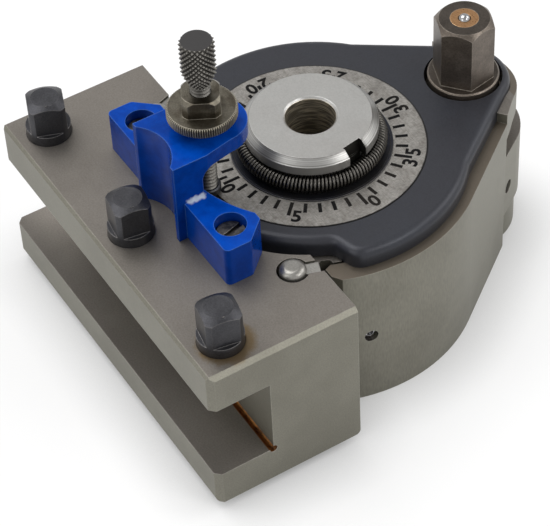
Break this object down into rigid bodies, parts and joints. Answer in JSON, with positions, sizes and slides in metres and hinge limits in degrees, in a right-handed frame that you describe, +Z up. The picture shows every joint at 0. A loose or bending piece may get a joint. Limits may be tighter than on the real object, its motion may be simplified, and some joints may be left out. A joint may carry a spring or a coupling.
{
  "type": "lathe tool holder",
  "caption": "Quick-change lathe tool holder on its toothed post head: an eccentric shaft and a pear-shaped ring pull a square-shank tool block onto a fixed indexing core.",
  "frame": {"origin": "centre of the sleeve's bore at the core's base plane", "axes": "+Z up along the bore, +Y from the tool holder towards the clamping hexagon, +X along the tool holder"},
  "size_m": [0.09, 0.1057, 0.0862],
  "materials": {
    "ground_steel": "satin, finely ground",
    "bright_steel": "turned and brushed",
    "black_steel": "black oxide, worn on the edges",
    "cover_finish": "satin blue-black",
    "blue_enamel": "gloss enamel",
    "spring_steel": "oiled",
    "brass": "satin",
    "chrome": "polished"
  },
  "bodies": {
    "core": {"core": "ground_steel", "centre_sleeve": "bright_steel", "sleeve_nut": "black_steel", "garter_spring": "spring_steel"},
    "shoe": {"thrust_shoe": "ground_steel"},
    "ring": {"clamp_ring": "ground_steel", "cover_plate": "cover_finish", "cover_pins": "bright_steel", "dial_ring": "bright_steel", "wear_ring": "black_steel", "claw_right": "bright_steel", "claw_left": "bright_steel", "claw_screws": "bright_steel", "upper_bush": "brass", "lower_bush": "brass", "cross_pin": "black_steel"},
    "shaft": {"clamping_shaft": "black_steel", "catch_sleeve": "brass", "catch_spring": "spring_steel"},
    "ball": {"catch_ball": "chrome"},
    "holder": {"tool_holder": "ground_steel", "height_bracket": "blue_enamel", "bracket_screws": "black_steel"},
    "screw_1": {"clamp_screw_1": "black_steel"},
    "screw_2": {"clamp_screw_2": "black_steel"},
    "screw_3": {"clamp_screw_3": "black_steel"},
    "adjuster": {"adjusting_screw": "black_steel"},
    "lock_nut": {"lock_nut": "black_steel"}
  },
  "joints": [
    {"name": "head_swivel", "type": "hinge", "parent": "core", "child": "shoe", "pos_m": [0, 0, 0], "axis": [0, 0, 1], "continuous": true},
    {"name": "clamp_slide", "type": "slide", "parent": "shoe", "child": "ring", "axis": [0, 1, 0], "range_m": [0, 0.0013]},
    {"name": "lever_turn", "type": "hinge", "parent": "ring", "child": "shaft", "pos_m": [0, 0.0398, 0], "axis": [0, 0, -1], "range_deg": [0, 120]},
    {"name": "ball_press", "type": "slide", "parent": "shaft", "child": "ball", "axis": [0, 0, -1], "range_m": [0, 0.0006], "stiffness_N_per_m": 200, "springref_m": -0.0005, "deforming": ["catch_spring"]},
    {"name": "holder_lift", "type": "slide", "parent": "ring", "child": "holder", "axis": [0, 0, 1], "range_m": [0, 0.045]},
    {"name": "height_adjust", "type": "slide", "parent": "holder", "child": "adjuster", "axis": [0, 0, 1], "range_m": [0, 0.008]},
    {"name": "lock_nut_travel", "type": "slide", "parent": "adjuster", "child": "lock_nut", "axis": [0, 0, -1], "range_m": [0, 0.0026]},
    {"name": "clamp_screw_1_travel", "type": "slide", "parent": "holder", "child": "screw_1", "axis": [0, 0, 1], "range_m": [0, 0.006]},
    {"name": "clamp_screw_2_travel", "type": "slide", "parent": "holder", "child": "screw_2", "axis": [0, 0, 1], "range_m": [0, 0.006]},
    {"name": "clamp_screw_3_travel", "type": "slide", "parent": "holder", "child": "screw_3", "axis": [0, 0, 1], "range_m": [0, 0.006]}
  ],
  "couplings": [
    {"joint": "lever_turn", "follows": "clamp_slide", "rad_per_m": 1611}
  ]
}
